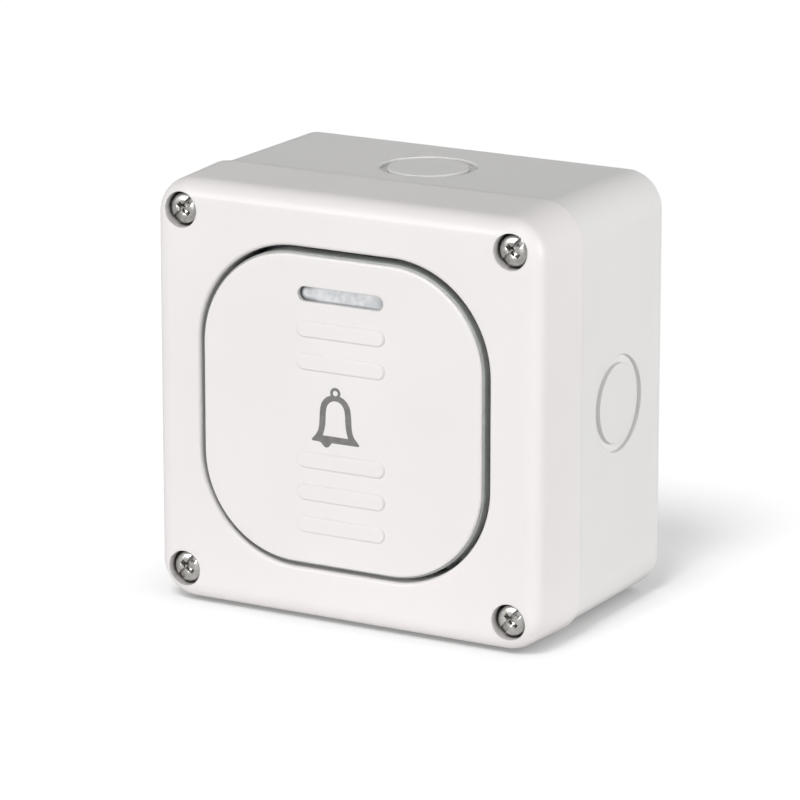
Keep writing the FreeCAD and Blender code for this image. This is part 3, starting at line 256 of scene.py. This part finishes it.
# moulded plastic or rubber: even colour, fine tool texture, edges a little soft
def makePlastic(name, look):
    material, tree = newMaterial(name)
    colour, place, patches = mottled(tree, look["colours"], look["patch"])
    if "gap" in look:
        colour = paintGapShade(tree, colour, look["gap"])
    grain = addNode(tree, "ShaderNodeTexNoise", {"Scale": 1 / (look["grain"] * mm), "Detail": 1.0}, {"Vector": place})
    edge = addNode(tree, "ShaderNodeBevel", {"samples": 6, "Radius": look["edge"] * mm})
    shadeWith(tree, {"IOR": look["ior"], **look.get("extra", {})},
              {"Base Color": colour, "Roughness": scaled(tree, grain.outputs["Fac"], toRange=look["roughness"]),
               "Normal": relief(tree, look["bump"], grain.outputs["Fac"], {"Normal": edge.outputs[0]})})
    return material


# fine scratches or plating mottle, drawn out along one axis
def workedMetal(tree, look, colour, place):
    stretch = addNode(tree, "ShaderNodeMapping", {"Scale": look["stretch"]}, {"Vector": place})
    streaks = addNode(tree, "ShaderNodeTexNoise", {"Scale": 1 / (look["streak"] * mm), "Detail": 2.0},
                      {"Vector": stretch.outputs[0]})
    shadeWith(tree, {"Metallic": 1.0},
              {"Base Color": colour, "Roughness": scaled(tree, streaks.outputs["Fac"], toRange=look["roughness"]),
               "Normal": relief(tree, look["bump"], streaks.outputs["Fac"])})


def makeMetal(name, look):
    material, tree = newMaterial(name)
    colour, place, patches = mottled(tree, look["colours"], look["patch"])
    if "gap" in look:
        colour = paintGapShade(tree, colour, look["gap"])
    workedMetal(tree, look, colour, place)
    return material


# how far out the cover screws stand, in x and in z
low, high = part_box("cover_screw_top_right")
screwOut = (low.x + high.x) / 2 / mm

plastics = {
    # ABS in warm white from a lightly sparked tool: an even satin
    "housing": {"colours": ("#F0ECEB", "#F2EEED"), "patch": 24, "grain": 0.3, "roughness": (0.36, 0.42),
                "bump": 0.02, "edge": 0.4, "ior": 1.5,
                # painted shade in the narrow gaps round the cover screws' heads
                "gap": {"reach": 1.0, "shut": 0.15, "open": 0.45, "colour": "#4A4743",
                        "around": screwOut, "within": 4.2}},
    # the box comes from a second tool and batch: a trace greyer
    "box": {"colours": ("#ECEBEA", "#EEEDEB"), "patch": 24, "grain": 0.3, "roughness": (0.38, 0.44),
            "bump": 0.025, "edge": 0.4, "ior": 1.5},
    # the same ABS from a polished tool: smoother, with a soft sheen
    "plate": {"colours": ("#F1EDEC", "#F3EFEE"), "patch": 30, "grain": 0.5, "roughness": (0.28, 0.32),
              "bump": 0.006, "edge": 0.3, "ior": 1.5},
    # EPDM lip seal, wiped with silicone: grey and slick, dark only where the gap shades it
    "seal_rubber": {"colours": ("#A2A6A3", "#ACB0AD"), "patch": 2.0, "grain": 0.15, "roughness": (0.3, 0.42),
                    "bump": 0.15, "edge": 0.1, "ior": 1.5},
    # extruded nitrile cord: matt grey-black
    "gasket_rubber": {"colours": ("#3A3B3B", "#454646"), "patch": 2.0, "grain": 0.2, "roughness": (0.55, 0.7),
                      "bump": 0.2, "edge": 0.1, "ior": 1.5},
    # glass-filled polyester: grey-white, dull, with faint flow marks
    "mechanism_plastic": {"colours": ("#CFCEC8", "#DAD9D3"), "patch": 6, "grain": 0.25, "roughness": (0.45, 0.6),
                          "bump": 0.15, "edge": 0.12, "ior": 1.52},
    # natural acetal: milky and slippery
    "plunger_plastic": {"colours": ("#EEEDE6", "#F3F2EC"), "patch": 4, "grain": 0.2, "roughness": (0.3, 0.38),
                        "bump": 0.08, "edge": 0.12, "ior": 1.48,
                        "extra": {"Subsurface Weight": 0.3, "Subsurface Scale": 0.001}},
}

metals = {
    # A2 stainless wire, cold headed and tumbled: neutral grey with soft tool lines
    "screw_steel": {"colours": ("#CBC9C5", "#DEDDDA"), "patch": 0.8, "streak": 0.12, "stretch": (1, 1, 1),
                    "roughness": (0.18, 0.3), "bump": 0.2,
                    # painted shade round the head in its recess, in the slot and drive and along the thread
                    "gap": {"reach": 1.0, "shut": 0.25, "open": 0.8, "colour": "#4A4642"}},
    # rolled strip, bright zinc plated: blue-grey spangle
    "zinc_steel": {"colours": ("#A9AFB5", "#C5C9CD"), "patch": 2.2, "streak": 0.3, "stretch": (1, 1, 6),
                   "roughness": (0.28, 0.42), "bump": 0.15},
    # patented spring wire, drawn: darker, lines along the wire
    "spring_steel": {"colours": ("#87898B", "#9C9EA0"), "patch": 1.0, "streak": 0.1, "stretch": (1, 1, 1),
                     "roughness": (0.25, 0.35), "bump": 0.15},
    # turned and sawn brass, slightly tarnished
    "brass": {"colours": ("#B5934A", "#CDB06B"), "patch": 1.5, "streak": 0.15, "stretch": (1, 8, 1),
              "roughness": (0.25, 0.4), "bump": 0.2},
    # hot-tinned copper wire: soft silver
    "tinned_wire": {"colours": ("#B9BCBD", "#CFD1D1"), "patch": 0.6, "streak": 0.1, "stretch": (1, 1, 1),
                    "roughness": (0.3, 0.4), "bump": 0.1},
}

# polycarbonate light guide, moulded and flame polished: pale grey-blue, with painted shade at its left end, foot,
# crown and right end, standing in for the hollow behind the plate; each pair runs from clear to full shade, measured
# from an edge
lens = {"middle": 24.0, "half": 9.77, "end": 1.52, "colours": ("#D9DDE0", "#F4F5F6"), "deepShade": "#3C4145",
        "line": "#70767A", "patch": 1.5, "leftFade": (3.2, -0.7), "wallFade": (-0.95, -0.2),
        "footFade": (-0.45, -0.1), "foot": 0.8, "crownFade": (-0.3, -0.05), "crown": 0.5,
        "rightFade": (-1.2, 0.4), "fog": 0.45, "roughness": 0.2, "clear": 0.12, "ior": 1.58}


def makeLens(name, look):
    material, tree = newMaterial(name)
    pale, place, patches = mottled(tree, look["colours"], look["patch"])
    split = addNode(tree, "ShaderNodeSeparateXYZ", None, {0: place})
    along = split.outputs["X"]
    across = maths(tree, "SUBTRACT", split.outputs["Z"], look["middle"] * mm)
    run = look["half"] - look["end"]
    past = maths(tree, "MINIMUM", maths(tree, "ADD", along, run * mm), 0.0)
    reach = addNode(tree, "ShaderNodeCombineXYZ", None, {0: past, 1: across})
    radius = addNode(tree, "ShaderNodeVectorMath", {"operation": "LENGTH"}, {0: reach.outputs[0]}).outputs["Value"]

    def fade(value, edge, sign, pair, most=1):
        ends = [sign * (edge + step) * mm for step in pair]
        return scaled(tree, value, ends, (0, most))

    leftEnd = scaled(tree, along, [(step - run) * mm for step in look["leftFade"]])
    shade = maths(tree, "MULTIPLY", leftEnd, fade(radius, look["end"], 1, look["wallFade"]))
    foot = fade(across, look["end"], -1, look["footFade"], look["foot"])
    crown = fade(across, look["end"], 1, look["crownFade"], look["crown"])
    rightEnd = fade(along, run, 1, look["rightFade"], look["fog"])
    edgeShadeShare = maths(tree, "MAXIMUM", maths(tree, "MAXIMUM", foot, crown), rightEnd)
    # painted shade: darkest at the left end, lighter along the foot, crown and right end
    colour = mixed(tree, shade, mixed(tree, edgeShadeShare, pale, look["line"]), look["deepShade"])
    shadeWith(tree, {"IOR": look["ior"], "Roughness": look["roughness"], "Transmission Weight": look["clear"]},
              {"Base Color": colour})
    return material


# rolled and stamped copper alloy with silver rivet faces where the contacts meet, at places in x and z
contacts = {"colours": ("#B87A55", "#CC9170"), "tips": ("#C9CACB", "#DADBDC"), "patch": 1.4, "tipPatch": 0.7,
            "places": ((-8.0, -12.0), (8.0, -12.0)), "tip": 1.55, "streak": 0.12, "stretch": (1, 1, 0.15),
            "roughness": (0.22, 0.36), "bump": 0.15}


def makeContacts(name, look):
    material, tree = newMaterial(name)
    copper, place, patches = mottled(tree, look["colours"], look["patch"])
    silver = mottled(tree, look["tips"], look["tipPatch"])[0]
    split = addNode(tree, "ShaderNodeSeparateXYZ", None, {0: place})
    flat = addNode(tree, "ShaderNodeCombineXYZ", None, {0: split.outputs["X"], 1: split.outputs["Z"]})
    nearest = None
    for x, z in look["places"]:
        away = addNode(tree, "ShaderNodeVectorMath", {"operation": "DISTANCE", 1: (x * mm, z * mm, 0)},
                       {0: flat.outputs[0]}).outputs["Value"]
        nearest = away if nearest is None else maths(tree, "MINIMUM", nearest, away)
    tip = maths(tree, "LESS_THAN", nearest, look["tip"] * mm)
    workedMetal(tree, look, mixed(tree, tip, copper, silver), place)
    return material


# blown soda-lime glass with a trace of getter film at its sealed ends: clear in the middle, smoky outside
bulb = {"clear": "#F4F1EC", "smoke": "#8E8478", "from": 3.6, "to": 6.0, "cloud": 1.5, "ragged": 1.2,
        "roughness": (0.03, 0.35), "ior": 1.5}


def makeBulb(name, look):
    material, tree = newMaterial(name)
    place = addNode(tree, "ShaderNodeTexCoord").outputs["Object"]
    split = addNode(tree, "ShaderNodeSeparateXYZ", None, {0: place})
    out = maths(tree, "ABSOLUTE", split.outputs["X"])
    cloud = addNode(tree, "ShaderNodeTexNoise", {"Scale": 1 / (look["cloud"] * mm), "Detail": 2.0}, {"Vector": place})
    ragged = maths(tree, "MULTIPLY_ADD", cloud.outputs["Fac"], look["ragged"] * mm, out)
    film = scaled(tree, ragged, (look["from"] * mm, look["to"] * mm))
    shadeWith(tree, {"IOR": look["ior"], "Transmission Weight": 1.0},
              {"Base Color": mixed(tree, film, look["clear"], look["smoke"]),
               "Roughness": scaled(tree, film, toRange=look["roughness"])})
    return material


# film resistor dipped in tan lacquer: shiny, with four colour rings round it for its value
resistor = {"body": ("#C9AE84", "#D3BA93"), "patch": 1.2, "middle": -36.0, "ring": 0.32,
            "rings": ((-1.9, "#6B4226"), (-1.0, "#E4A72B"), (-0.1, "#D9C21F"), (1.6, "#B08D3C")),
            "roughness": 0.22, "bump": 0.2, "lacquer": 0.5, "ior": 1.5}


def makeResistor(name, look):
    material, tree = newMaterial(name)
    colour, place, patches = mottled(tree, look["body"], look["patch"])
    split = addNode(tree, "ShaderNodeSeparateXYZ", None, {0: place})
    for along, code in look["rings"]:
        away = maths(tree, "ABSOLUTE", maths(tree, "SUBTRACT", split.outputs["Y"], (look["middle"] + along) * mm))
        ring = maths(tree, "LESS_THAN", away, look["ring"] * mm)
        colour = mixed(tree, ring, colour, code)
    shadeWith(tree, {"IOR": look["ior"], "Roughness": look["roughness"], "Coat Weight": look["lacquer"]},
              {"Base Color": colour, "Normal": relief(tree, look["bump"], patches)})
    return material


materials = {slot: makePlastic(slot + ", moulded", look) for slot, look in plastics.items()}
materials.update({slot: makeMetal(slot + ", finished", look) for slot, look in metals.items()})
materials["clear"] = makeLens("polycarbonate, polished", lens)
materials["contact_copper"] = makeContacts("copper alloy strip with silver tips", contacts)
materials["lamp_glass"] = makeBulb("soda-lime glass, blown", bulb)
materials["resistor_body"] = makeResistor("lacquered film resistor", resistor)

slotOf = {part["node"]: part["material_slot"] for part in frame["record"]["subparts"]}
for name, node in nodes.items():
    look = "box" if name == "back_box" else slotOf[name]
    node.data.materials.clear()
    node.data.materials.append(materials[look])
print("materials:", len(materials))


# screws

screwKinds = {
    # head width and rise, height of its straight edge, shank, thread and drive; stand is the height of the
    # head in the solids, where that differs from the rise
    "cover": {"head": 6.6, "stand": 2.4, "rise": 2.1, "edge": 0.9, "shank": 3.9, "core": 3.0, "length": 20.0,
              "pitch": 1.6, "slot": 1.5, "slotDepth": 1.2, "cross": 4.4, "bar": 1.4, "crossDepth": 1.9, "rim": 0.1},
    "frame": {"head": 5.0, "rise": 1.6, "edge": 0.6, "shank": 2.5, "core": 1.9, "length": 8.0, "pitch": 0.9,
              "slot": 0.0, "slotDepth": 0.0, "cross": 3.0, "bar": 0.8, "crossDepth": 1.1, "rim": 0.06},
    "block": {"head": 5.0, "rise": 1.6, "edge": 0.6, "shank": 2.5, "core": 1.9, "length": 4.0, "pitch": 0.9,
              "slot": 0.0, "slotDepth": 0.0, "cross": 3.0, "bar": 0.8, "crossDepth": 1.1, "rim": 0.06},
    "terminal": {"head": 4.4, "rise": 1.8, "edge": 1.4, "shank": 2.9, "core": 2.3, "length": 3.0, "pitch": 0.5,
                 "slot": 0.8, "slotDepth": 0.8, "cross": 0.0, "bar": 0.0, "crossDepth": 0.0, "rim": 0.06},
    "loop": {"head": 4.4, "rise": 1.8, "edge": 1.4, "shank": 2.9, "core": 2.3, "length": 2.9, "pitch": 0.5,
             "slot": 0.8, "slotDepth": 0.8, "cross": 0.0, "bar": 0.0, "crossDepth": 0.0, "rim": 0.06},
}
# rings of the dome: their width as a share of the head's, and their height as a share of the dome's
domeSteps = ((0.988, 0.30), (0.945, 0.58), (0.86, 0.80), (0.73, 0.93), (0.52, 1.0))
# angles in degrees; slotPast is the cutter's length over the head's, ridgeOut the share of the thread that
# stands clear of the core, bareTurns what the thread stops short of the head and the tip together
screwMesh = {"headSides": 72, "shankSides": 24, "threadSteps": 20, "rimFrom": 38, "smoothTo": 32,
             "crossTaper": 0.55, "slotPast": 1.2, "ridgeOut": 0.2, "bareTurns": 2.2}


# a bar that stands in the top of a head; its foot is narrower than its mouth
def bladeCutter(length, width, depth, rise, taper):
    bpy.ops.mesh.primitive_cube_add(size=1, location=(0, 0, rise * mm))
    bar = bpy.context.object
    bar.scale = (length * mm, width * mm, 2 * depth * mm)
    bpy.ops.object.transform_apply(location=True, rotation=True, scale=True)
    for face in bar.data.polygons:
        face.select = face.normal.z < -0.5
    for edge in bar.data.edges:
        edge.select = all(bar.data.vertices[v].co.z < rise * mm for v in edge.vertices)
    for vertex in bar.data.vertices:
        vertex.select = vertex.co.z < rise * mm
    bpy.ops.object.mode_set(mode="EDIT")
    bpy.ops.transform.resize(value=(taper, taper, 1))
    bpy.ops.object.mode_set(mode="OBJECT")
    return bar


def joinTo(piece, other):
    bpy.ops.object.select_all(action="DESELECT")
    other.select_set(True)
    piece.select_set(True)
    bpy.context.view_layer.objects.active = piece
    bpy.ops.object.join()


def cutWith(piece, cutter):
    cut = piece.modifiers.new("cut", "BOOLEAN")
    cut.operation = "DIFFERENCE"
    cut.solver = "EXACT"
    cut.object = cutter
    bpy.context.view_layer.objects.active = piece
    bpy.ops.object.modifier_apply(modifier=cut.name)
    bpy.data.objects.remove(cutter)


# a head with its seat at z = 0: a straight edge, then rings drawn in towards the top
def makeHead(kind):
    bpy.ops.mesh.primitive_cylinder_add(vertices=screwMesh["headSides"], radius=kind["head"] / 2 * mm,
                                        depth=kind["edge"] * mm, location=(0, 0, kind["edge"] / 2 * mm))
    head = bpy.context.object
    bpy.ops.object.transform_apply(location=True, rotation=True, scale=True)
    bpy.ops.object.mode_set(mode="EDIT")
    bpy.ops.mesh.select_all(action="DESELECT")
    bpy.ops.object.mode_set(mode="OBJECT")
    for face in head.data.polygons:
        face.select = face.normal.z > 0.5
    bpy.ops.object.mode_set(mode="EDIT")
    width, height = 1.0, 0.0
    for nextWidth, nextHeight in domeSteps:
        lift = (nextHeight - height) * (kind["rise"] - kind["edge"]) * mm
        bpy.ops.mesh.extrude_region_move(TRANSFORM_OT_translate={"value": (0, 0, lift)})
        bpy.ops.transform.resize(value=(nextWidth / width, nextWidth / width, 1))
        width, height = nextWidth, nextHeight
    bpy.ops.object.mode_set(mode="OBJECT")
    if kind["slot"]:
        cutWith(head, bladeCutter(kind["head"] * screwMesh["slotPast"], kind["slot"], kind["slotDepth"],
                                  kind["rise"], 1.0))
    if kind["cross"]:
        for turn in (0, 90):
            bar = bladeCutter(kind["cross"], kind["bar"], kind["crossDepth"], kind["rise"],
                              screwMesh["crossTaper"])
            bar.data.transform(Matrix.Rotation(math.radians(turn), 4, "Z"))
            cutWith(head, bar)
    soft = head.modifiers.new("soft", "BEVEL")
    soft.width = kind["rim"] * mm
    soft.segments = 2
    soft.limit_method = "ANGLE"
    soft.angle_limit = math.radians(screwMesh["rimFrom"])
    bpy.ops.object.modifier_apply(modifier=soft.name)
    return head


# a rod with one ridge wound round it as its thread
def makeShank(kind):
    bpy.ops.mesh.primitive_cylinder_add(vertices=screwMesh["shankSides"], radius=kind["core"] / 2 * mm,
                                        depth=kind["length"] * mm, location=(0, 0, -kind["length"] / 2 * mm))
    rod = bpy.context.object
    bpy.ops.object.transform_apply(location=True, rotation=True, scale=True)
    ridge = (kind["shank"] - kind["core"]) / 2
    out = kind["core"] / 2 + ridge * screwMesh["ridgeOut"]
    bpy.ops.mesh.primitive_circle_add(vertices=3, radius=ridge * mm, fill_type="NGON",
                                      location=(out * mm, 0, -kind["pitch"] * mm),
                                      rotation=(math.radians(90), math.radians(90), 0))
    thread = bpy.context.object
    bpy.ops.object.transform_apply(location=True, rotation=True, scale=True)
    turns = int(kind["length"] / kind["pitch"] - screwMesh["bareTurns"])
    wind = thread.modifiers.new("wind", "SCREW")
    wind.axis = "Z"
    wind.angle = math.radians(360)
    wind.screw_offset = -kind["pitch"] * mm
    wind.iterations = max(turns, 1)
    wind.steps = wind.render_steps = screwMesh["threadSteps"]
    bpy.ops.object.modifier_apply(modifier=wind.name)
    bpy.ops.object.mode_set(mode="EDIT")
    bpy.ops.mesh.select_all(action="SELECT")
    bpy.ops.mesh.remove_doubles(threshold=1e-6)
    bpy.ops.mesh.fill_holes(sides=8)
    bpy.ops.mesh.normals_make_consistent(inside=False)
    bpy.ops.object.mode_set(mode="OBJECT")
    joinTo(rod, thread)
    return rod


def makeScrew(kind):
    rod = makeShank(kind)
    head = makeHead(kind)
    joinTo(head, rod)
    bpy.ops.object.shade_smooth_by_angle(angle=math.radians(screwMesh["smoothTo"]))
    return head


# a copy of the pattern on the CAD screw's seat, turned to its slot angle
def seatScrew(pattern, kind, node, outward, turn):
    low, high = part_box(node)
    middle = (low + high) / 2
    stand = kind.get("stand", kind["rise"]) * mm
    seat = low.y + stand if outward else high.y - stand
    lean = Matrix.Rotation(math.radians(90 if outward else -90), 4, "X")
    spin = Matrix.Rotation(math.radians(turn), 4, "Z")
    screw = pattern.copy()
    screw.data = pattern.data.copy()
    screw.name = "detailed_" + node
    scene.collection.objects.link(screw)
    screw.data.transform(Matrix.Translation((middle.x, seat, middle.z)) @ lean @ spin)
    screw.data.materials.append(materials[slotOf[node]])
    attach(screw, "enclosure")
    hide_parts(node)


screwPlaces = {
    # node: kind, head towards the finger or the wall, angle of the slot
    "cover_screw_top_left": ("cover", True, 50), "cover_screw_top_right": ("cover", True, 52),
    "cover_screw_bottom_left": ("cover", True, 54), "cover_screw_bottom_right": ("cover", True, 48),
    "frame_screw_top_left": ("frame", False, 15), "frame_screw_top_right": ("frame", False, 62),
    "frame_screw_bottom_left": ("frame", False, 33), "frame_screw_bottom_right": ("frame", False, 80),
    "block_screw_upper": ("block", False, 20), "block_screw_lower": ("block", False, 71),
    "terminal_screw_left": ("terminal", False, 12), "terminal_screw_right": ("terminal", False, 96),
    "loop_screw": ("loop", True, 30),
}
patterns = {name: makeScrew(kind) for name, kind in screwKinds.items()}
for node, (name, outward, turn) in screwPlaces.items():
    seatScrew(patterns[name], screwKinds[name], node, outward, turn)
for pattern in patterns.values():
    bpy.data.objects.remove(pattern)
print("screws:", len(screwPlaces))


# printed bell

# front is where the plate's face lies; the ring on the crown runs between two angles round its eye
bell = {"middle": -1.2, "front": -54.7, "film": 0.02, "ring": 1.18, "ringTurn": (-26, 206), "eye": 0.56,
        "eyeTurn": (0, 345), "ringHeight": 4.38}
# half of the outline, from the crown down to the rim, and half of the inside, in x and z
bellOutside = ((1.05, 3.84), (2.05, 3.42), (2.75, 2.76), (3.25, 1.95), (3.50, 1.05), (3.62, 0.0), (3.68, -1.3),
               (3.76, -2.5), (3.97, -3.55), (4.40, -4.42), (5.02, -5.12), (5.52, -5.68), (5.34, -5.97))
bellInside = ((0.0, 2.78), (0.62, 2.70), (1.28, 2.36), (1.80, 1.78), (2.10, 1.02), (2.22, 0.0), (2.27, -1.3),
              (2.38, -2.5), (2.58, -3.5), (2.92, -4.62))
bellClapper = ((-0.85, -6.0), (-1.14, -6.38), (-1.5, -6.84), (-2.05, -7.08), (-2.55, -6.97), (-2.95, -6.6),
               (-3.3, -6.2), (-3.75, -6.0))


# ink that a pad lays on the plate: matt, with a trace of unevenness
ink = {"colours": ("#757371", "#7F7D7B"), "patch": 1.2, "grain": 0.08, "roughness": (0.5, 0.62), "bump": 0.05,
       "edge": 0.02, "ior": 1.45}


def addLoop(curve, points):
    loop = curve.splines.new("POLY")
    loop.points.add(len(points) - 1)
    for point, (x, z) in zip(loop.points, points):
        point.co = ((x + bell["middle"]) * mm, z * mm, 0, 1)
    loop.use_cyclic_u = True


def arc(radius, ends, steps):
    start, stop = ends
    turns = [math.radians(start + (stop - start) * step / steps) for step in range(steps + 1)]
    return [(radius * math.cos(turn), bell["ringHeight"] + radius * math.sin(turn)) for turn in turns]


drawn = bpy.data.curves.new("bellPrint", "CURVE")
drawn.dimensions = "2D"
drawn.fill_mode = "BOTH"
drawn.extrude = bell["film"] / 2 * mm
right = list(reversed(bellOutside))
left = [(-x, z) for x, z in bellOutside]
addLoop(drawn, right + arc(bell["ring"], bell["ringTurn"], 28) + left + list(reversed(bellClapper)))
addLoop(drawn, list(bellInside) + [(-x, z) for x, z in reversed(bellInside[1:])])
addLoop(drawn, arc(bell["eye"], bell["eyeTurn"], 23))
bellPrint = bpy.data.objects.new("bell_print", drawn)
scene.collection.objects.link(bellPrint)
bpy.ops.object.select_all(action="DESELECT")
bellPrint.select_set(True)
bpy.context.view_layer.objects.active = bellPrint
bpy.ops.object.convert(target="MESH")
bellPrint = bpy.context.object
face = Matrix.Translation((0, (bell["front"] - bell["film"] / 4) * mm, 0))
bellPrint.data.transform(face @ Matrix.Rotation(math.radians(90), 4, "X"))
bellPrint.data.materials.append(makePlastic("pad-printed ink, dark grey, matt", ink))
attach(bellPrint, "plate")
print("bell printed")
